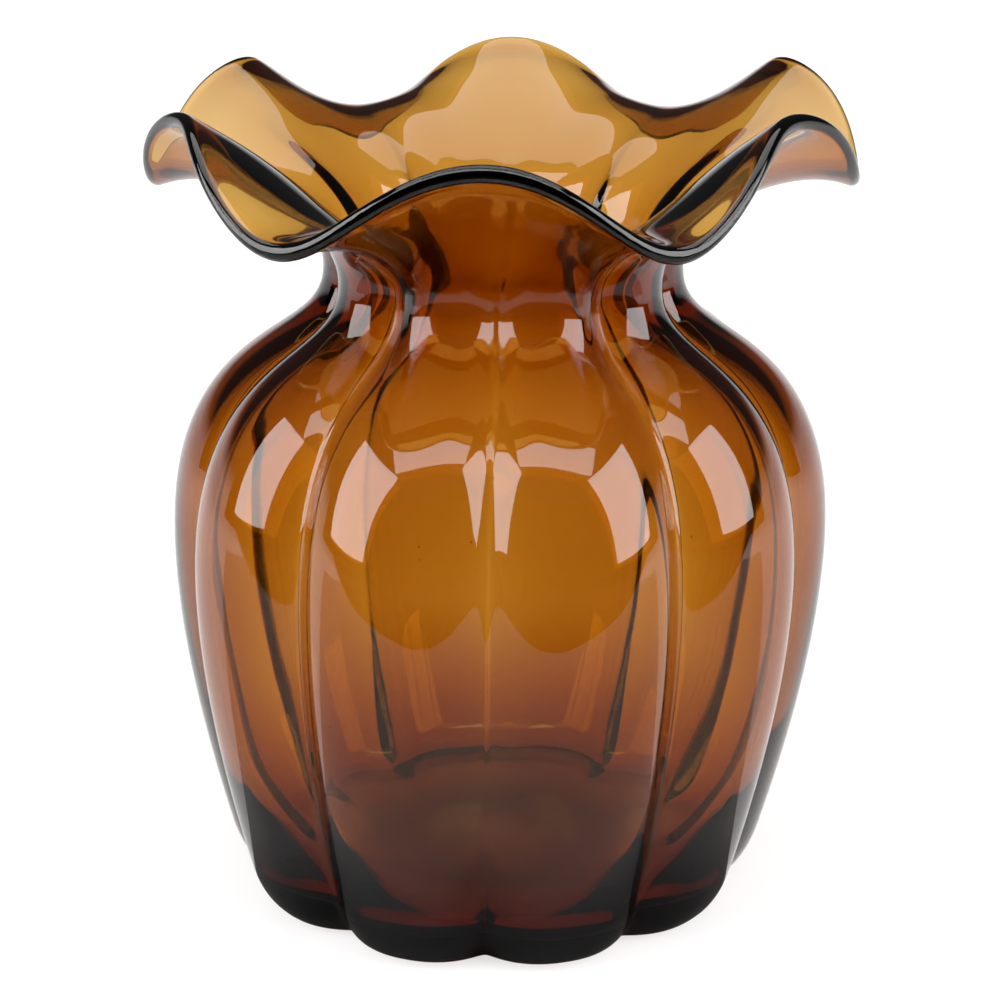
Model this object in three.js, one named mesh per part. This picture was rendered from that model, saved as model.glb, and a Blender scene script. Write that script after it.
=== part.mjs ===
// Lobed glass vase with a ruffled collar, standing on Z = 0 with its axis on Z.
// The groove at angle 0 faces -Y. Angles run from there towards +X.

import * as THREE from 'three';

// Driving dimensions, in millimetres, degrees and counts

// Foot and heel: the flat underside's edge and the top of the rounded heel, both on a lobe
const footRadius = 64.3;
const heelRadius = 74.5;
const heelHeight = 13.4;
const kickRadius = 38;
const kickHeight = 1.5;

// Belly, the widest place, and neck, the narrowest, both on a lobe
const bellyRadius = 88.7;
const bellyHeight = 98.9;
const neckRadius = 47.6;
const neckHeight = 173;

// Collar, from the neck up to the top of its crests
const collarHeight = 47;

// How far the wall above the heel leans out for each millimetre of height
const wallLean = 0.28;

// Fullness of the curves: each handle as a share of the rise or reach of its curve
const footFullness = 0.42;
const heelFullness = 0.54;
const wallFullness = 0.28;
const bellyFullness = 0.33;
const shoulderFullness = 0.81;
const neckFullness = 0.31;

// Grooves between the lobes: sharp outside, and softer inside, which follows them in part
const lobeCount = 10;
const footGroove = 6.5;
const bellyGroove = 7.4;
const neckGroove = 4.5;
const grooveFade = 1.5;
const grooveRounding = 0.035;
const insideRounding = 0.12;
const insideFollow = 0.9;

// Glass: thin at the belly, thicker towards the neck and the heel, with a round corner to the floor
const wall = 4;
const neckWall = 6.8;
const heelWall = 8;
const thickeningHeight = 36;
const cornerHeight = 13.8;
const floorHeight = 5.5;
const lipWall = 3.4;
const beadSwell = 0.5;

// Fullness of the inner corner: its handles as shares of its drop and of the belly's radius
const cornerFullness = 0.9;
const floorFullness = 0.62;

// Ruffled collar: the lip's centre line is a slightly oval ring with even waves
const waveCount = 6;
const rimRadius = 91.3;
const rimOval = 4.2;
const rimOvalAngle = -18;
const waveHeight = 21;
const waveReach = 6.8;
const troughPinch = 1.2;
const reachPinch = 0.9;

// Slope at which the collar meets the lip, up on a crest and down in a trough
const crestSlope = 29;
const troughSlope = -6;
const neckRise = 18;
const lipRoll = 11.7;

// Fineness of the facets
const turnSteps = 100;
const heelSteps = 4;
const wallSteps = 6;
const insideSteps = 6;
const shoulderSteps = 7;
const collarSteps = 7;
const beadSteps = 6;
const floorSteps = 6;
const kickSteps = 3;

const radians = THREE.MathUtils.degToRad;
const lerp = THREE.MathUtils.lerp;
const beadRadius = lipWall / 2 + beadSwell;

// A point of a cross-section: radius across, height up
function at(radius, z) {
  return new THREE.Vector2(radius, z);
}

// Direction of a curve at a share of its length, exact at both ends
function direction(curve, share) {
  const { v0, v1, v2, v3 } = curve;
  const rest = 1 - share;
  return v1.clone().sub(v0).multiplyScalar(rest * rest)
    .addScaledVector(v2.clone().sub(v1), 2 * share * rest)
    .addScaledVector(v3.clone().sub(v2), share * share)
    .normalize();
}

// Outside of a lobe, in three curves from the foot up to the neck
const heelRise = heelHeight * heelFullness;
const heelCurve = new THREE.CubicBezierCurve(
  at(footRadius, 0),
  at(footRadius + (heelRadius - footRadius) * footFullness, 0),
  at(heelRadius - heelRise * wallLean, heelHeight - heelRise),
  at(heelRadius, heelHeight),
);

const bellyRise = bellyHeight - heelHeight;
const wallRise = bellyRise * wallFullness;
const wallCurve = new THREE.CubicBezierCurve(
  at(heelRadius, heelHeight),
  at(heelRadius + wallRise * wallLean, heelHeight + wallRise),
  at(bellyRadius, bellyHeight - bellyRise * bellyFullness),
  at(bellyRadius, bellyHeight),
);

const shoulderRise = neckHeight - bellyHeight;
const shoulderCurve = new THREE.CubicBezierCurve(
  at(bellyRadius, bellyHeight),
  at(bellyRadius, bellyHeight + shoulderRise * shoulderFullness),
  at(neckRadius, neckHeight - shoulderRise * neckFullness),
  at(neckRadius, neckHeight),
);

// 1 in the middle of a groove, 0 on the crest of a lobe, which is a round arc
function crease(angle, rounding) {
  const lobe = angle * lobeCount / (2 * Math.PI);
  const aside = 2 * Math.abs(lobe - Math.round(lobe));
  const rounded = Math.hypot(aside, rounding) - rounding;
  return Math.pow(1 - rounded / (Math.hypot(1, rounding) - rounding), 2);
}

// Depth of the grooves at a height, and what of it there is at an angle, outside and inside
function grooveDepth(z) {
  if (z < bellyHeight) {
    return lerp(bellyGroove, footGroove, Math.pow(1 - z / bellyHeight, grooveFade));
  }
  return lerp(bellyGroove, neckGroove, Math.pow((z - bellyHeight) / shoulderRise, 2));
}

function outsideGroove(depth, angle) {
  return depth * crease(angle, grooveRounding);
}

function insideGroove(depth, angle) {
  return depth * insideFollow * crease(angle, insideRounding);
}

// Thickness of the glass at a height
function wallThickness(z) {
  if (z > bellyHeight) {
    return lerp(wall, neckWall, Math.pow((z - bellyHeight) / shoulderRise, 2));
  }
  const low = Math.max(thickeningHeight - z, 0) / (thickeningHeight - heelHeight);
  return lerp(wall, heelWall, low * low);
}

// Share of a rising curve at which it comes to a height
function shareAt(curve, height) {
  let low = 0;
  let high = 1;
  for (let round = 0; round < 40; round += 1) {
    const middle = (low + high) / 2;
    if (curve.getPoint(middle).y < height) {
      low = middle;
    } else {
      high = middle;
    }
  }
  return low;
}

// Places along a curve, from one share of it to another
function places(curve, steps, from, to) {
  return Array.from({ length: steps + 1 }, (_, step) => ({ curve, share: lerp(from, to, step / steps) }));
}

function outsidePoint({ curve, share }, angle) {
  const { x, y } = curve.getPoint(share);
  return at(x - outsideGroove(grooveDepth(y), angle), y);
}

function insidePoint({ curve, share }, angle) {
  const { x, y } = curve.getPoint(share);
  const upright = direction(curve, share).y;
  return at(x - wallThickness(y) / upright - insideGroove(grooveDepth(y), angle), y);
}

// The body's outside going up to the neck, and its inside coming down from there to the corner
const outsidePlaces = [
  ...places(wallCurve, wallSteps, 0, 1),
  ...places(shoulderCurve, shoulderSteps, 0, 1).slice(1),
];
const insidePlaces = [
  ...places(shoulderCurve, shoulderSteps, 1, 0),
  ...places(wallCurve, insideSteps, 1, shareAt(wallCurve, cornerHeight)).slice(1),
];

// Cross-sections at an angle, each listed with the outside going up and the inside coming down
function bodySection(angle) {
  return [
    ...outsidePlaces.map((place) => outsidePoint(place, angle)),
    ...insidePlaces.map((place) => insidePoint(place, angle)),
  ];
}

// Base: raised underside, flat foot ring, rounded heel, and inside a round corner and a level floor
function baseSection(angle) {
  const underside = Array.from({ length: kickSteps + 1 }, (_, step) => {
    const share = step / kickSteps;
    return at(kickRadius * share, kickHeight * Math.pow(1 - share * share, 2));
  });
  const heel = heelCurve.getPoints(heelSteps).map((point) => {
    return at(point.x - outsideGroove(grooveDepth(point.y), angle), point.y);
  });
  const [above, edge] = insidePlaces.slice(-2).map((place) => insidePoint(place, angle));
  const drop = cornerFullness * (edge.y - floorHeight);
  const corner = new THREE.CubicBezierCurve(
    edge,
    at(edge.x - drop * (above.x - edge.x) / (above.y - edge.y), edge.y - drop),
    at(floorFullness * bellyRadius, floorHeight),
    at(0, floorHeight),
  );
  return [...underside, ...heel, ...corner.getPoints(floorSteps)];
}

// The lip's centre line: crests stand higher and further in than troughs
function lipCentre(angle) {
  const wave = Math.cos(waveCount * angle);
  const ripple = Math.cos(2 * waveCount * angle) - 1;
  const oval = rimOval * Math.cos(2 * (angle - radians(rimOvalAngle)));
  const crestZ = neckHeight + collarHeight - beadRadius;
  return {
    point: at(
      rimRadius + oval - wave * waveReach / 2 - ripple * reachPinch,
      crestZ - (1 - wave) * waveHeight / 2 - ripple * troughPinch,
    ),
    slope: radians(lerp(troughSlope, crestSlope, (1 + wave) / 2)),
  };
}

// Middle of the collar's glass at an angle, from the neck out to the bead
function collarCurve(angle) {
  const { point, slope } = lipCentre(angle);
  const outward = at(Math.cos(slope), Math.sin(slope));
  const beadDepth = Math.sqrt(beadRadius * beadRadius - lipWall * lipWall / 4);
  const end = point.clone().addScaledVector(outward, -beadDepth);
  const start = at(neckRadius - neckWall / 2, neckHeight);
  return new THREE.CubicBezierCurve(
    start,
    at(start.x, start.y + neckRise),
    end.clone().addScaledVector(outward, -lipRoll),
    end,
  );
}

// One side of the collar's glass: side is -1 outside and below, 1 inside and above
function collarSide(angle, side) {
  const curve = collarCurve(angle);
  const grooveAt = side < 0 ? outsideGroove : insideGroove;
  return Array.from({ length: collarSteps + 1 }, (_, step) => {
    const share = step / collarSteps;
    const along = direction(curve, share);
    const point = curve.getPoint(share);
    const rest = Math.pow(1 - share, 2);
    const half = lerp(lipWall, neckWall, rest) / 2;
    const groove = grooveAt(neckGroove * rest, angle);
    return at(point.x - side * half * along.y - groove, point.y + side * half * along.x);
  });
}

function collarSection(angle) {
  return [...collarSide(angle, -1), ...collarSide(angle, 1).reverse()];
}

// Rounded bead on the collar's edge: the same two edge points, joined by an arc round the lip
function beadSection(angle) {
  const { point, slope } = lipCentre(angle);
  const sweep = Math.PI - Math.asin(lipWall / 2 / beadRadius);
  const nose = Array.from({ length: beadSteps - 1 }, (_, step) => {
    const turn = slope + sweep * (2 * (step + 1) / beadSteps - 1);
    return at(point.x + beadRadius * Math.cos(turn), point.y + beadRadius * Math.sin(turn));
  });
  return [collarSide(angle, -1).at(-1), ...nose, collarSide(angle, 1).at(-1)];
}

// A closed cross-section taken round the axis. Where two of its points lie on the axis it is a
// dish, and otherwise a ring, whose closing face takes the other diagonal, so that two rings
// which share an edge meet on the same triangles.
function turnedGeometry(section) {
  const turns = Array.from({ length: turnSteps }, (_, step) => 2 * Math.PI * step / turnSteps);
  const rounds = turns.map(section);
  const count = rounds[0].length;
  const positions = rounds.flatMap((points, step) => points.flatMap((point) => [
    point.x * Math.sin(turns[step]),
    -point.x * Math.cos(turns[step]),
    point.y,
  ]));
  const triangles = [];
  rounds.forEach((points, step) => {
    const here = step * count;
    const beside = (step + 1) % turnSteps * count;
    points.forEach((point, row) => {
      const next = (row + 1) % count;
      const closing = next === 0;
      if (point.x > 0) {
        triangles.push(here + row, beside + row, closing ? here + next : beside + next);
      }
      if (points[next].x > 0) {
        triangles.push(closing ? beside + row : here + row, beside + next, here + next);
      }
    });
  });
  const geometry = new THREE.BufferGeometry();
  geometry.setAttribute('position', new THREE.Float32BufferAttribute(positions, 3));
  geometry.setIndex(triangles);
  geometry.computeVertexNormals();
  return geometry;
}

// Amber glass, darker where it is thicker
function glass(color, opacity) {
  return new THREE.MeshStandardMaterial({
    color,
    roughness: 0.05,
    metalness: 0,
    transparent: true,
    opacity,
  });
}

function zone(name, section, material) {
  const mesh = new THREE.Mesh(turnedGeometry(section), material);
  mesh.name = name;
  return mesh;
}

const vase = new THREE.Group();
vase.add(zone('base', baseSection, glass(0x46231e, 0.9)));
vase.add(zone('lobed_body', bodySection, glass(0xa05f0a, 0.6)));
vase.add(zone('ruffled_collar', collarSection, glass(0xd6aa6e, 0.5)));
vase.add(zone('lip_bead', beadSection, glass(0x2a1712, 0.95)));

export default vase;
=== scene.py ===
"""Amber glass vase with ten lobes and a ruffled collar, on a white studio table."""

import math

import bpy
import numpy as np
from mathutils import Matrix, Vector


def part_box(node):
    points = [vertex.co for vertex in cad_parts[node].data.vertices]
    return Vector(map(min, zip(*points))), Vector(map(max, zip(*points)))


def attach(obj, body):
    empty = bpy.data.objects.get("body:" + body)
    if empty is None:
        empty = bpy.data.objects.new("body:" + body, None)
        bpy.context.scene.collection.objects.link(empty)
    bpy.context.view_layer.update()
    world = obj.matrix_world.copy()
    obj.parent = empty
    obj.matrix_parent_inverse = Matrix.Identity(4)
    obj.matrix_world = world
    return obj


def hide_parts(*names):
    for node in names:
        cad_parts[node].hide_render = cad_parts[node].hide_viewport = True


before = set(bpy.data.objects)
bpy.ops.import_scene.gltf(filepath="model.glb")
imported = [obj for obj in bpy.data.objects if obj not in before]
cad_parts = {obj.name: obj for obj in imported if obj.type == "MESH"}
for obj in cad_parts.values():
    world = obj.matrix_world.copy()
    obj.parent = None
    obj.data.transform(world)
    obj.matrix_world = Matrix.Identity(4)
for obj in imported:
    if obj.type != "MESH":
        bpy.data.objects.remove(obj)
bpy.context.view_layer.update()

# Sizes are in metres and angles in degrees. Angles run from -Y towards +X, as in the CAD.

# Taken from the CAD frame
HEEL_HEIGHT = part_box("lobed_body")[0].z
BELLY_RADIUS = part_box("lobed_body")[1].x
NECK_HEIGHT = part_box("ruffled_collar")[0].z

# Outside of a lobe, as in the CAD
FOOT_RADIUS = 0.0643
HEEL_RADIUS = 0.0745
KICK_RADIUS = 0.038
KICK_HEIGHT = 0.0015
BELLY_HEIGHT = 0.0989
NECK_RADIUS = 0.0476
WALL_LEAN = 0.28

# Fullness of its curves, as in the CAD: each handle as a share of the rise or reach of its curve
FOOT_FULLNESS = 0.42
HEEL_FULLNESS = 0.54
WALL_FULLNESS = 0.28
BELLY_FULLNESS = 0.33
SHOULDER_FULLNESS = 0.81
NECK_FULLNESS = 0.31

# Grooves: as deep as in the CAD but a little rounder, with slightly fuller lobes between them
LOBE_COUNT = 10
FOOT_GROOVE = 0.0065
BELLY_GROOVE = 0.0074
NECK_GROOVE = 0.0045
GROOVE_FADE = 1.5
GROOVE_ROUNDING = 0.065
LOBE_POWER = 2.4

# The inside follows the grooves in part, and more softly
INSIDE_ROUNDING = 0.15
INSIDE_FOLLOW = 0.87

# Glass: thin at the belly, thicker towards the neck and the heel, with a round corner to the floor
WALL = 0.004
NECK_WALL = 0.0068
HEEL_WALL = 0.0098
THICKENING_HEIGHT = 0.052
CORNER_HEIGHT = 0.0138
CORNER_FULLNESS = 0.75
FLOOR_HEIGHT = 0.0055
FLOOR_FULLNESS = 0.57
LIP_WALL = 0.0039
BEAD_RADIUS = 0.0022
BEAD_SHARE = 0.2

# Lip: a wavy ring
WAVE_COUNT = 6
WAVE_TURN = -0.2
RIM_RADIUS = 0.09125
WAVE_REACH = 0.0034
REACH_PINCH = 0.0009
RIM_HEIGHT = 0.2082
WAVE_HEIGHT = 0.0105
TROUGH_PINCH = 0.0012

# Slope at which the collar meets the lip, and the handles of its curve at the neck and at the lip
CREST_SLOPE = 29
TROUGH_SLOPE = -6
NECK_RISE = 0.018
LIP_ROLL = 0.0117

# The troughs at the back fold over: by an angle, with a lower lip and a longer handle
BACK_DROOP = 55
BACK_SINK = 0.007
BACK_ROLL = 0.024

# Sway of the lip once, twice and three times round: amount, and the angle where it is largest
REACH_SWAY = [(0.0015, 162), (0.0042, -18), (0.0008, 86)]
HEIGHT_SWAY = [(0.0008, 20), (0.0016, 92), (0.0005, -32)]

# How far the body leans to +X for each metre of height
BODY_LEAN = 0.014

# Unevenness of blown glass: times round, radians for each metre of height, and start of each swell
SWELLS = [(3, 60, 0.3), (5, -85, 1.9), (7, 110, 4.0)]
OUTSIDE_SWELL = 0.00006
INSIDE_SWELL = 0.00015

# Seeds, the small bubbles in the wall: their depths are shares of its thickness
SEED_COUNT = 26
SEED_RADII = (0.00014, 0.00032)
SEED_HEIGHTS = (0.03, 0.16)
SEED_DEPTHS = (0.3, 0.7)
SEED_DRAW = 5
SEED_SIDES = 8
SEED_BANDS = 5

# Amber: each metre of glass takes up 1 minus the colour, times the density
GLASS_COLOR = (0.81, 0.603, 0.05)
GLASS_DENSITY = 685
GLASS_IOR = 1.52

# Ripples on the surface
RIPPLE_SCALE = 90
RIPPLE_STRETCH = 0.3
RIPPLE_DETAIL = 1.5
RIPPLE_HEIGHT = 0.00003

# Fineness of the mesh
STEPS_PER_LOBE = 40
EVEN_SHARE = 0.4
KICK_STEPS = 6
FOOT_STEPS = 3
HEEL_STEPS = 12
WALL_STEPS = 30
SHOULDER_STEPS = 36
COLLAR_STEPS = 30
BEAD_STEPS = 14
INSIDE_STEPS = 24
BOWL_STEPS = 20
HALVINGS = 40

# Camera, with lens and sensor in millimetres, and the place that it and the lamps are turned to
TARGET = (0, 0, 0.1069)
CAMERA_DISTANCE = 0.7213
CAMERA_ELEVATION = 19.45
CAMERA_TURN = 2.2
CAMERA_LENS = 95.4
CAMERA_SENSOR = 36
CAMERA_SHIFT = 0.001

# Floor: its glow grows away from the vase, and a painted shadow darkens it under the vase
WHITE = (1, 1, 1)
FLOOR_RADIUS = 6.0
FLOOR_SIDES = 120
FLOOR_Z = -0.0002
FLOOR_COLOR = (0.3, 0.3, 0.3)
GLOW_START = 0.1
GLOW_END = 0.7
GLOW_NEAR = 0.72
GLOW_FAR = 1.0
# Painted shadow under the vase, in the glow: full out to the first distance, gone at the second, with
# this share of the glow left under it
PAINTED_SHADOW_START = 0.028
PAINTED_SHADOW_END = 0.066
PAINTED_SHADOW_UNDER = 0.1

# Softboxes: one on each side, one high in front and one high behind
SIDE_BOX_TURN = 67
SIDE_BOX_ELEVATION = 25
SIDE_BOX_DISTANCE = 1.1
SIDE_BOX_SIZE = (0.85, 0.95)
SIDE_BOX_RADIANCE = 6
TOP_BOX_ELEVATION = 65
TOP_BOX_DISTANCE = 1.1
TOP_BOX_SIZE = (1.2, 0.38)
TOP_BOX_RADIANCE = 4.5
BACK_BOX_ELEVATION = 76
BACK_BOX_DISTANCE = 1.1
BACK_BOX_SIZE = (1.25, 0.8)
BACK_BOX_RADIANCE = 2.1

# Table top that the glass mirrors: darkened near the vase by a painted shadow, grey farther off, with an
# edge in front
# Painted shadow: the table top's grey close to the vase and farther off, and the distances between which
# it lightens
TABLE_NEAR_PAINTED_SHADOW = 0.12
TABLE_FAR = 0.35
TABLE_PAINTED_SHADOW_START = 0.07
TABLE_PAINTED_SHADOW_END = 0.11
TABLE_EDGE = -0.32
TABLE_SIZE = (1.4, 0.3)
TABLE_Z = 0.001

# Dark room round the front, beyond that edge
ROOM_RADIUS = 2.0
ROOM_HEIGHT = 1.4
ROOM_TURN = 100
ROOM_STEP = 5
ROOM_FLOOR_Z = 0.0005
ROOM_COLOR = (0.02, 0.02, 0.02)

# Surroundings: white up to one elevation, and dark from the other up
WHITE_ELEVATION = 2
DARK_ELEVATION = 10
OVERHEAD_COLOR = (0.05, 0.05, 0.05)


def spread_turns():
    """Angles all round in radians: in part evenly spread, in part closer together near the grooves."""
    half_lobe = math.pi / LOBE_COUNT
    share = np.arange(STEPS_PER_LOBE) / STEPS_PER_LOBE * 2 - 1
    within = half_lobe * (EVEN_SHARE * share + (1 - EVEN_SHARE) * np.sin(share * math.pi / 2))
    centres = half_lobe * (2 * np.arange(LOBE_COUNT) + 1)
    return (centres[:, None] + within[None, :]).ravel()


TURNS = spread_turns()


def lerp(start, end, share):
    """The value at a share of the way from a start to an end."""
    return start + (end - start) * share


def bezier(points, share):
    """Point and unit direction of a cubic curve. A point is a pair: radius and height."""
    rest = 1 - share
    weights = (rest ** 3, 3 * rest ** 2 * share, 3 * rest * share ** 2, share ** 3)
    slopes = (rest ** 2, 2 * rest * share, share ** 2)
    place = [sum(w * p[axis] for w, p in zip(weights, points)) for axis in (0, 1)]
    ahead = [
        sum(s * (q[axis] - p[axis]) for s, p, q in zip(slopes, points, points[1:]))
        for axis in (0, 1)
    ]
    length = np.hypot(*ahead)
    return place[0], place[1], ahead[0] / length, ahead[1] / length


HEEL_RISE = HEEL_HEIGHT * HEEL_FULLNESS
HEEL_CURVE = [
    (FOOT_RADIUS, 0),
    (lerp(FOOT_RADIUS, HEEL_RADIUS, FOOT_FULLNESS), 0),
    (HEEL_RADIUS - HEEL_RISE * WALL_LEAN, HEEL_HEIGHT - HEEL_RISE),
    (HEEL_RADIUS, HEEL_HEIGHT),
]
BELLY_RISE = BELLY_HEIGHT - HEEL_HEIGHT
WALL_RISE = BELLY_RISE * WALL_FULLNESS
WALL_CURVE = [
    (HEEL_RADIUS, HEEL_HEIGHT),
    (HEEL_RADIUS + WALL_RISE * WALL_LEAN, HEEL_HEIGHT + WALL_RISE),
    (BELLY_RADIUS, BELLY_HEIGHT - BELLY_RISE * BELLY_FULLNESS),
    (BELLY_RADIUS, BELLY_HEIGHT),
]
SHOULDER_RISE = NECK_HEIGHT - BELLY_HEIGHT
SHOULDER_CURVE = [
    (BELLY_RADIUS, BELLY_HEIGHT),
    (BELLY_RADIUS, BELLY_HEIGHT + SHOULDER_RISE * SHOULDER_FULLNESS),
    (NECK_RADIUS, NECK_HEIGHT - SHOULDER_RISE * NECK_FULLNESS),
    (NECK_RADIUS, NECK_HEIGHT),
]


def aside(turns):
    """How far angles are from the nearest groove: 0 in it and 1 on the crest of a lobe."""
    lobes = turns * LOBE_COUNT / (2 * math.pi)
    return 2 * np.abs(lobes - np.round(lobes))


def crease(rounding):
    """All round, 1 in the middle of a groove and 0 on the crest of a lobe."""
    rounded = np.hypot(aside(TURNS), rounding) - rounding
    return (1 - rounded / (math.hypot(1, rounding) - rounding)) ** LOBE_POWER


OUTSIDE_CREASE = crease(GROOVE_ROUNDING)
INSIDE_CREASE = INSIDE_FOLLOW * crease(INSIDE_ROUNDING)


def groove_depth(z):
    """Depth of the grooves at a height."""
    if z < BELLY_HEIGHT:
        return lerp(BELLY_GROOVE, FOOT_GROOVE, (1 - z / BELLY_HEIGHT) ** GROOVE_FADE)
    return lerp(BELLY_GROOVE, NECK_GROOVE, ((z - BELLY_HEIGHT) / SHOULDER_RISE) ** 2)


def wall_thickness(z):
    """Thickness of the glass at a height, square to the wall."""
    if z > BELLY_HEIGHT:
        return lerp(WALL, NECK_WALL, ((z - BELLY_HEIGHT) / SHOULDER_RISE) ** 2)
    low = max(THICKENING_HEIGHT - z, 0) / (THICKENING_HEIGHT - HEEL_HEIGHT)
    return lerp(WALL, HEEL_WALL, low ** 2)


def share_at(curve, height):
    """Share of a rising curve at which it comes to a height."""
    low, high = 0, 1
    for _ in range(HALVINGS):
        middle = (low + high) / 2
        if bezier(curve, middle)[1] < height:
            low = middle
        else:
            high = middle
    return low


def row(radius, z, lean=1.0):
    """One ring of points round the axis, moved by a share of the body's lean."""
    radius = np.broadcast_to(radius, TURNS.shape)
    z = np.broadcast_to(z, TURNS.shape)
    x = radius * np.sin(TURNS) + lean * BODY_LEAN * (z - BELLY_HEIGHT)
    return np.column_stack([x, -radius * np.cos(TURNS), z])


def uneven(z, amount):
    """What the swells add to the radius at a height, all round."""
    waves = [np.sin(times * TURNS + rate * z + start) for times, rate, start in SWELLS]
    return amount * sum(waves) / len(waves)


def steps(count, first=0, start=0.0, end=1.0):
    """Evenly spaced values from a start to an end, beginning with the first step that is wanted."""
    return [lerp(start, end, step / count) for step in range(first, count + 1)]


def underside_rows():
    """Raised middle, flat foot ring and rounded heel, from the axis outwards."""
    rows = []
    for share in steps(KICK_STEPS):
        rows.append(row(KICK_RADIUS * share, KICK_HEIGHT * (1 - share ** 2) ** 2))
    foot_edge = FOOT_RADIUS - FOOT_GROOVE * OUTSIDE_CREASE
    for share in steps(FOOT_STEPS, 1):
        rows.append(row(lerp(KICK_RADIUS, foot_edge, share), 0))
    for share in steps(HEEL_STEPS, 1)[:-1]:
        radius, z, _, _ = bezier(HEEL_CURVE, share)
        rows.append(row(radius - groove_depth(z) * OUTSIDE_CREASE, z))
    return rows


def outside_rows():
    """The wall from the heel up to the neck."""
    places = [(WALL_CURVE, share) for share in steps(WALL_STEPS)]
    places += [(SHOULDER_CURVE, share) for share in steps(SHOULDER_STEPS, 1)]
    rows = []
    for curve, share in places:
        radius, z, _, _ = bezier(curve, share)
        radius = radius + uneven(z, OUTSIDE_SWELL)
        rows.append(row(radius - groove_depth(z) * OUTSIDE_CREASE, z))
    return rows


def inside_ring(curve, share):
    """Radius all round and height of the inside, behind a place on the outside."""
    radius, z, _, upright = bezier(curve, share)
    radius = radius - wall_thickness(z) / upright + uneven(z, INSIDE_SWELL)
    return radius - groove_depth(z) * INSIDE_CREASE, z


def inside_rows():
    """The wall from the neck down, round the corner and along the floor to the axis."""
    corner = share_at(WALL_CURVE, CORNER_HEIGHT)
    places = [(SHOULDER_CURVE, share) for share in steps(SHOULDER_STEPS, 0, 1, 0)]
    places += [(WALL_CURVE, share) for share in steps(INSIDE_STEPS, 1, 1, corner)]
    rings = [inside_ring(curve, share) for curve, share in places]
    (above, high), (edge, low) = rings[-2:]
    drop = CORNER_FULLNESS * (low - FLOOR_HEIGHT)
    bowl = [
        (edge, low),
        (edge - drop * (above - edge) / (high - low), low - drop),
        (FLOOR_FULLNESS * BELLY_RADIUS, FLOOR_HEIGHT),
        (0, FLOOR_HEIGHT),
    ]
    rings += [bezier(bowl, share)[:2] for share in steps(BOWL_STEPS, 1)]
    return [row(radius, z) for radius, z in rings]


def sway(parts):
    """What hand work adds to the lip's reach or height, all round."""
    return sum(
        amount * np.cos((time + 1) * (TURNS - math.radians(angle)))
        for time, (amount, angle) in enumerate(parts)
    )


def lip():
    """Radius, height and slope of the lip's centre line and the collar's handle there, all round."""
    phase = WAVE_COUNT * (TURNS - math.radians(WAVE_TURN))
    wave, ripple = np.cos(phase), np.cos(2 * phase)
    radius = RIM_RADIUS - WAVE_REACH * wave - REACH_PINCH * ripple + sway(REACH_SWAY)
    z = RIM_HEIGHT + WAVE_HEIGHT * wave - TROUGH_PINCH * ripple + sway(HEIGHT_SWAY)
    slope = lerp(TROUGH_SLOPE, CREST_SLOPE, (1 + wave) / 2)
    folded = ((1 - np.cos(TURNS)) / 2) ** 2 * (1 - wave) / 2
    z = z - BACK_SINK * folded
    slope = slope - BACK_DROOP * folded
    return radius, z, np.radians(slope), LIP_ROLL + BACK_ROLL * folded


LIP_RADIUS, LIP_Z, LIP_SLOPE, LIP_HANDLE = lip()


def smooth(share):
    """A share that starts and ends gently."""
    return share ** 2 * (3 - 2 * share)


def collar_rows(side):
    """One side of the collar from the neck to the bead: -1 outside and below, 1 inside and above."""
    start = NECK_RADIUS - NECK_WALL / 2
    curve = [
        (start, NECK_HEIGHT),
        (start, NECK_HEIGHT + NECK_RISE),
        (LIP_RADIUS - LIP_HANDLE * np.cos(LIP_SLOPE), LIP_Z - LIP_HANDLE * np.sin(LIP_SLOPE)),
        (LIP_RADIUS, LIP_Z),
    ]
    crease_here = OUTSIDE_CREASE if side < 0 else INSIDE_CREASE
    rows = []
    for share in steps(COLLAR_STEPS, 1):
        radius, z, across, upright = bezier(curve, share)
        swell = max(1 - (1 - share) / BEAD_SHARE, 0)
        half = lerp(LIP_WALL, NECK_WALL, (1 - share) ** 2) / 2
        half = lerp(half, BEAD_RADIUS, smooth(swell))
        groove = NECK_GROOVE * (1 - share) ** 2 * crease_here
        reach = radius - side * half * upright - groove
        rows.append(row(reach, z + side * half * across, 1 - share))
    return rows


def bead_rows():
    """The rounded lip, from the collar's underside round to its upper side."""
    rows = []
    for share in steps(BEAD_STEPS, 1)[:-1]:
        turn = LIP_SLOPE + math.pi * (share - 0.5)
        reach = LIP_RADIUS + BEAD_RADIUS * np.cos(turn)
        rows.append(row(reach, LIP_Z + BEAD_RADIUS * np.sin(turn), 0))
    return rows


def skin(rows):
    """Points and faces over the rows. The first and the last lie on the axis and become a point each."""
    count = len(TURNS)
    points = np.vstack([rows[0][:1], *rows[1:-1], rows[-1][:1]])
    faces = []
    last = len(points) - 1
    top = last - count
    for turn in range(count):
        beside = (turn + 1) % count
        faces.append((0, 1 + beside, 1 + turn))
        for low in range(1, top, count):
            high = low + count
            faces.append((low + turn, low + beside, high + beside, high + turn))
        faces.append((top + turn, top + beside, last))
    return points, faces


def seed_centre(turn, height, depth):
    """Middle of a seed at an angle in radians, a height and a share of the wall's thickness."""
    curve = WALL_CURVE if height < BELLY_HEIGHT else SHOULDER_CURVE
    radius, _, _, _ = bezier(curve, share_at(curve, height))
    radius -= groove_depth(height) * (1 - aside(turn)) ** LOBE_POWER + depth * WALL
    x = radius * math.sin(turn) + BODY_LEAN * (height - BELLY_HEIGHT)
    return np.array([x, -radius * math.cos(turn), height])


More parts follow.
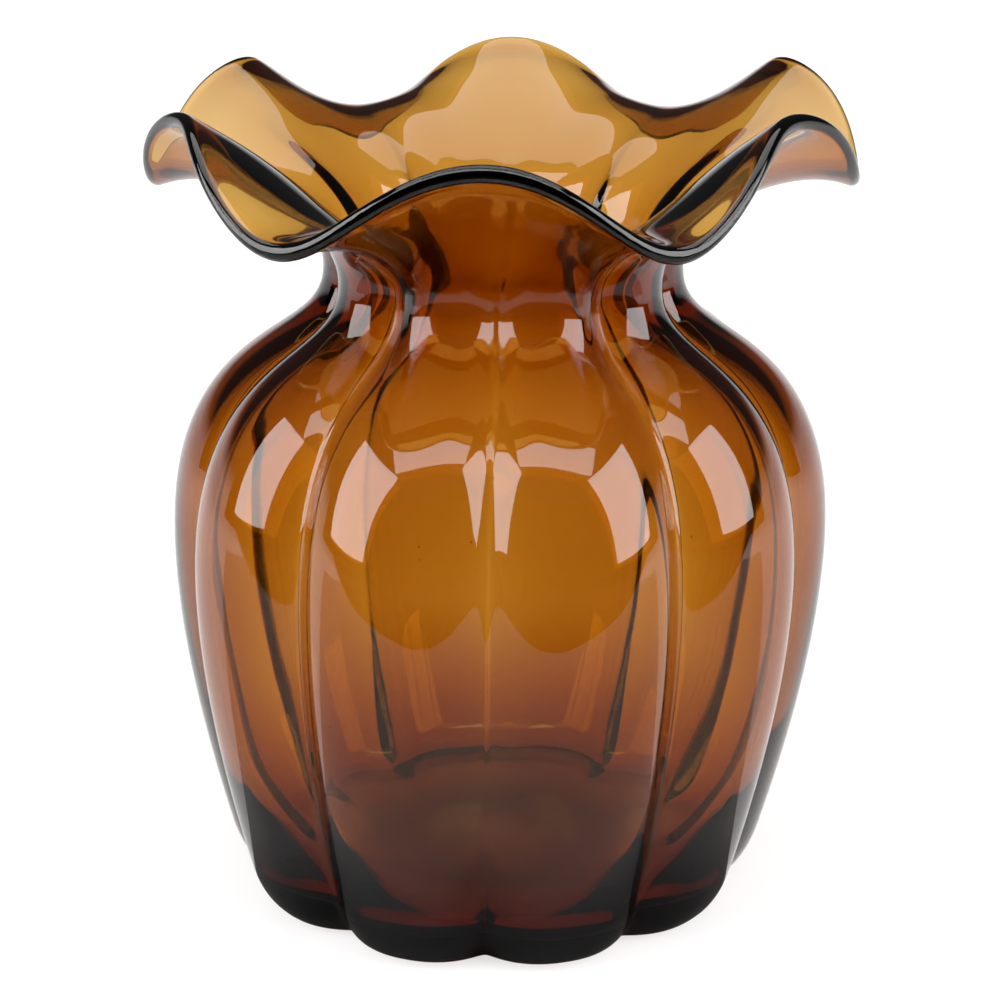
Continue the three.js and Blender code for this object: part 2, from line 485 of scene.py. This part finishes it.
def seed(centre, size):
    """Points and faces of a small ball, which face inwards because air is on its inside."""
    points = [centre - [0, 0, size]]
    for band in range(1, SEED_BANDS):
        tilt = math.pi * (band / SEED_BANDS - 0.5)
        for side in range(SEED_SIDES):
            angle = 2 * math.pi * side / SEED_SIDES
            around = [
                math.cos(angle) * math.cos(tilt),
                math.sin(angle) * math.cos(tilt),
                math.sin(tilt),
            ]
            points.append(centre + size * np.array(around))
    points.append(centre + [0, 0, size])
    faces = []
    last = len(points) - 1
    top = last - SEED_SIDES
    for side in range(SEED_SIDES):
        beside = (side + 1) % SEED_SIDES
        faces.append((0, 1 + side, 1 + beside))
        for low in range(1, top, SEED_SIDES):
            high = low + SEED_SIDES
            faces.append((low + beside, low + side, high + side, high + beside))
        faces.append((top + beside, top + side, last))
    return points, faces


def shifted(faces, count):
    """The same faces for points that come after a number of others."""
    return [tuple(count + corner for corner in face) for face in faces]


def seeds():
    """Points and faces of all seeds, at places drawn by chance."""
    draw = np.random.default_rng(SEED_DRAW)
    points, faces = [], []
    for _ in range(SEED_COUNT):
        turn = draw.uniform(0, 2 * math.pi)
        height = draw.uniform(*SEED_HEIGHTS)
        size = draw.uniform(*SEED_RADII)
        depth = draw.uniform(*SEED_DEPTHS)
        ball_points, ball_faces = seed(seed_centre(turn, height, depth), size)
        faces += shifted(ball_faces, len(points))
        points += ball_points
    return np.array(points), faces


def add(name, data):
    """A new object in the scene."""
    piece = bpy.data.objects.new(name, data)
    bpy.context.collection.objects.link(piece)
    return piece


def make_vase():
    """The vase as one closed skin of glass, with the seeds in its wall."""
    rows = underside_rows()
    rows += outside_rows()
    rows += collar_rows(side=-1)
    rows += bead_rows()
    rows += collar_rows(side=1)[::-1]
    rows += inside_rows()
    points, faces = skin(rows)
    seed_points, seed_faces = seeds()
    faces += shifted(seed_faces, len(points))
    mesh = bpy.data.meshes.new("vase")
    mesh.from_pydata(np.vstack([points, seed_points]).tolist(), [], faces)
    mesh.shade_smooth()
    mesh.update()
    return add("vase", mesh)


def ripples(tree):
    """Faint upright ripples, as blown glass has on its surface."""
    where = tree.nodes.new("ShaderNodeTexCoord")
    stretch = tree.nodes.new("ShaderNodeMapping")
    stretch.inputs["Scale"].default_value = (1, 1, RIPPLE_STRETCH)
    noise = tree.nodes.new("ShaderNodeTexNoise")
    noise.inputs["Scale"].default_value = RIPPLE_SCALE
    noise.inputs["Detail"].default_value = RIPPLE_DETAIL
    bump = tree.nodes.new("ShaderNodeBump")
    bump.inputs["Strength"].default_value = 1
    bump.inputs["Distance"].default_value = RIPPLE_HEIGHT
    tree.links.new(where.outputs["Object"], stretch.inputs["Vector"])
    tree.links.new(stretch.outputs["Vector"], noise.inputs["Vector"])
    tree.links.new(noise.outputs["Fac"], bump.inputs["Height"])
    return bump.outputs["Normal"]


def amber_glass():
    """Clear glass, darker where it is thick. Lamp rays pass it straight, so its shadow is amber."""
    material = bpy.data.materials.new("amber_glass")
    material.use_nodes = True
    tree = material.node_tree
    tree.nodes.clear()
    output = tree.nodes.new("ShaderNodeOutputMaterial")
    glass = tree.nodes.new("ShaderNodeBsdfPrincipled")
    glass.inputs["Base Color"].default_value = (*WHITE, 1)
    glass.inputs["Roughness"].default_value = 0
    glass.inputs["IOR"].default_value = GLASS_IOR
    glass.inputs["Transmission Weight"].default_value = 1
    clear = tree.nodes.new("ShaderNodeBsdfTransparent")
    path = tree.nodes.new("ShaderNodeLightPath")
    mix = tree.nodes.new("ShaderNodeMixShader")
    volume = tree.nodes.new("ShaderNodeVolumeAbsorption")
    volume.inputs["Color"].default_value = (*GLASS_COLOR, 1)
    volume.inputs["Density"].default_value = GLASS_DENSITY
    tree.links.new(ripples(tree), glass.inputs["Normal"])
    tree.links.new(path.outputs["Is Shadow Ray"], mix.inputs["Fac"])
    tree.links.new(glass.outputs["BSDF"], mix.inputs[1])
    tree.links.new(clear.outputs["BSDF"], mix.inputs[2])
    tree.links.new(mix.outputs["Shader"], output.inputs["Surface"])
    tree.links.new(volume.outputs["Volume"], output.inputs["Volume"])
    return material


def from_angles(turn, elevation, distance):
    """The place at a turn from -Y, an elevation and a distance, as seen from the target."""
    turn, rise = math.radians(turn), math.radians(elevation)
    flat = math.cos(rise)
    away = Vector((math.sin(turn) * flat, -math.cos(turn) * flat, math.sin(rise)))
    return Vector(TARGET) + away * distance


def aim(piece, place):
    """Puts a camera or lamp at a place and turns it to the target."""
    piece.location = place
    piece.rotation_euler = (Vector(TARGET) - place).to_track_quat("-Z", "Y").to_euler()


def make_camera():
    """Camera at the photograph's viewing angle."""
    data = bpy.data.cameras.new("camera")
    data.lens = CAMERA_LENS
    data.sensor_width = CAMERA_SENSOR
    data.shift_x = CAMERA_SHIFT
    camera = add("camera", data)
    aim(camera, from_angles(CAMERA_TURN, CAMERA_ELEVATION, CAMERA_DISTANCE))
    bpy.context.scene.camera = camera


def matt(name, color):
    """A material without gloss."""
    material = bpy.data.materials.new(name)
    material.use_nodes = True
    shader = material.node_tree.nodes["Principled BSDF"]
    shader.inputs["Base Color"].default_value = (*color, 1)
    shader.inputs["Roughness"].default_value = 1
    shader.inputs["Specular IOR Level"].default_value = 0
    return material


def make_stage(name, points, faces, color):
    """A matt piece of the studio, which is no part of the vase."""
    mesh = bpy.data.meshes.new(name)
    mesh.from_pydata(points, [], faces)
    mesh.materials.append(matt(name, color))
    piece = add(name, mesh)
    return piece


def only_mirrored(piece):
    """Lets a piece show in reflections alone, as a dark room does behind the camera."""
    piece.visible_camera = False
    piece.visible_diffuse = False
    piece.visible_transmission = False
    piece.visible_shadow = False


def circle(radius, turns):
    """Points on a circle round the axis, at turns from -Y."""
    angles = [math.radians(turn) for turn in turns]
    return [(radius * math.sin(angle), -radius * math.cos(angle)) for angle in angles]


def combine(tree, operation, first, second):
    """Output of a maths node that takes two other outputs."""
    node = tree.nodes.new("ShaderNodeMath")
    node.operation = operation
    tree.links.new(first, node.inputs[0])
    tree.links.new(second, node.inputs[1])
    return node.outputs["Value"]


def by_distance(tree, distances, values):
    """A value that goes smoothly from one to another with the distance from the middle of the foot."""
    where = tree.nodes.new("ShaderNodeTexCoord")
    length = tree.nodes.new("ShaderNodeVectorMath")
    length.operation = "LENGTH"
    ramp = tree.nodes.new("ShaderNodeMapRange")
    ramp.interpolation_type = "SMOOTHSTEP"
    ramp.inputs["From Min"].default_value, ramp.inputs["From Max"].default_value = distances
    ramp.inputs["To Min"].default_value, ramp.inputs["To Max"].default_value = values
    tree.links.new(where.outputs["Object"], length.inputs[0])
    tree.links.new(length.outputs["Value"], ramp.inputs["Value"])
    return ramp.outputs["Result"]


def seen_directly(tree):
    """1 for what the eye sees, straight or by way of the glass, and 0 for light that falls on things."""
    path = tree.nodes.new("ShaderNodeLightPath")
    total = path.outputs["Is Camera Ray"]
    for name in ("Is Glossy Ray", "Is Transmission Ray"):
        total = combine(tree, "MAXIMUM", total, path.outputs[name])
    return total


def make_floor():
    """Table that looks white up to the horizon, to the eye and in the glass, with the vase's shadow and
    a painted shadow under it.
    """
    rim = circle(FLOOR_RADIUS, [360 / FLOOR_SIDES * side for side in range(FLOOR_SIDES)])
    points = [(x, y, FLOOR_Z) for x, y in rim]
    floor = make_stage("floor", points, [range(FLOOR_SIDES)], FLOOR_COLOR)
    tree = floor.active_material.node_tree
    shader = tree.nodes["Principled BSDF"]
    shader.inputs["Emission Color"].default_value = (*WHITE, 1)
    glow = by_distance(tree, (GLOW_START, GLOW_END), (GLOW_NEAR, GLOW_FAR))
    # Painted shadow: the glow is darkened beneath the vase's foot
    painted_shadow = by_distance(tree, (PAINTED_SHADOW_START, PAINTED_SHADOW_END), (PAINTED_SHADOW_UNDER, 1))
    glow_with_painted_shadow = combine(tree, "MULTIPLY", glow, painted_shadow)
    strength = combine(tree, "MULTIPLY", glow_with_painted_shadow, seen_directly(tree))
    tree.links.new(strength, shader.inputs["Emission Strength"])


def make_table_top():
    """Grey table top that ends in front of the vase, with a painted shadow near the vase's foot. Only
    the glass mirrors it.
    """
    width, depth = TABLE_SIZE
    near, far = TABLE_EDGE, TABLE_EDGE + depth
    corners = [(-width / 2, near), (width / 2, near), (width / 2, far), (-width / 2, far)]
    points = [(x, y, TABLE_Z) for x, y in corners]
    top = make_stage("table_top", points, [range(len(corners))], WHITE)
    only_mirrored(top)
    tree = top.active_material.node_tree
    # Painted shadow: the grey darkens towards the foot of the vase
    grey_with_painted_shadow = by_distance(tree, (TABLE_PAINTED_SHADOW_START, TABLE_PAINTED_SHADOW_END), (TABLE_NEAR_PAINTED_SHADOW, TABLE_FAR))
    tree.links.new(grey_with_painted_shadow, tree.nodes["Principled BSDF"].inputs["Base Color"])


def make_room():
    """Dark wall and floor beyond the table top. Only the glass mirrors them."""
    rim = circle(ROOM_RADIUS, range(-ROOM_TURN, ROOM_TURN + 1, ROOM_STEP))
    points = [(x, y, z) for x, y in rim for z in (TABLE_Z, ROOM_HEIGHT)]
    walls = [(2 * i, 2 * i + 2, 2 * i + 3, 2 * i + 1) for i in range(len(rim) - 1)]
    only_mirrored(make_stage("room_wall", points, walls, ROOM_COLOR))
    ground = [(x, min(y, TABLE_EDGE), ROOM_FLOOR_Z) for x, y in rim]
    only_mirrored(make_stage("room_floor", ground, [range(len(rim))], ROOM_COLOR))


def make_lamp(name, place, size, radiance):
    """A softbox: a rectangular lamp of an even brightness, turned to the target."""
    data = bpy.data.lights.new(name, "AREA")
    data.shape = "RECTANGLE"
    data.size, data.size_y = size
    data.energy = radiance * math.pi * size[0] * size[1]
    lamp = add(name, data)
    aim(lamp, place)
    lamp.visible_camera = False


def make_lamps():
    """The four softboxes."""
    for side, name in ((-1, "left_box"), (1, "right_box")):
        place = from_angles(side * SIDE_BOX_TURN, SIDE_BOX_ELEVATION, SIDE_BOX_DISTANCE)
        make_lamp(name, place, SIDE_BOX_SIZE, SIDE_BOX_RADIANCE)
    above = from_angles(0, TOP_BOX_ELEVATION, TOP_BOX_DISTANCE)
    make_lamp("top_box", above, TOP_BOX_SIZE, TOP_BOX_RADIANCE)
    behind = from_angles(180, BACK_BOX_ELEVATION, BACK_BOX_DISTANCE)
    make_lamp("back_box", behind, BACK_BOX_SIZE, BACK_BOX_RADIANCE)


def make_world():
    """White to the eye. For the vase, white round the horizon and dark overhead, as in a studio."""
    world = bpy.data.worlds.new("studio")
    bpy.context.scene.world = world
    world.use_nodes = True
    tree = world.node_tree
    back = tree.nodes["Background"]
    back.inputs["Strength"].default_value = 1
    where = tree.nodes.new("ShaderNodeTexCoord")
    apart = tree.nodes.new("ShaderNodeSeparateXYZ")
    ramp = tree.nodes.new("ShaderNodeValToRGB")
    low, high = ramp.color_ramp.elements
    low.position = math.sin(math.radians(WHITE_ELEVATION))
    low.color = (*WHITE, 1)
    high.position = math.sin(math.radians(DARK_ELEVATION))
    high.color = (*OVERHEAD_COLOR, 1)
    path = tree.nodes.new("ShaderNodeLightPath")
    tree.links.new(where.outputs["Generated"], apart.inputs["Vector"])
    tree.links.new(apart.outputs["Z"], ramp.inputs["Fac"])
    either = combine(tree, "MAXIMUM", ramp.outputs["Color"], path.outputs["Is Camera Ray"])
    tree.links.new(either, back.inputs["Color"])


vase = make_vase()
vase.data.materials.append(amber_glass())
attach(vase, "root")
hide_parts("base", "lobed_body", "ruffled_collar", "lip_bead")

make_camera()
make_floor()
make_table_top()
make_room()
make_lamps()
make_world()
bpy.context.scene.view_settings.view_transform = "Standard"

# Light goes to and fro many times inside thick glass
cycles = bpy.context.scene.cycles
cycles.max_bounces = 40
cycles.glossy_bounces = 24
cycles.transmission_bounces = 40
cycles.transparent_max_bounces = 24
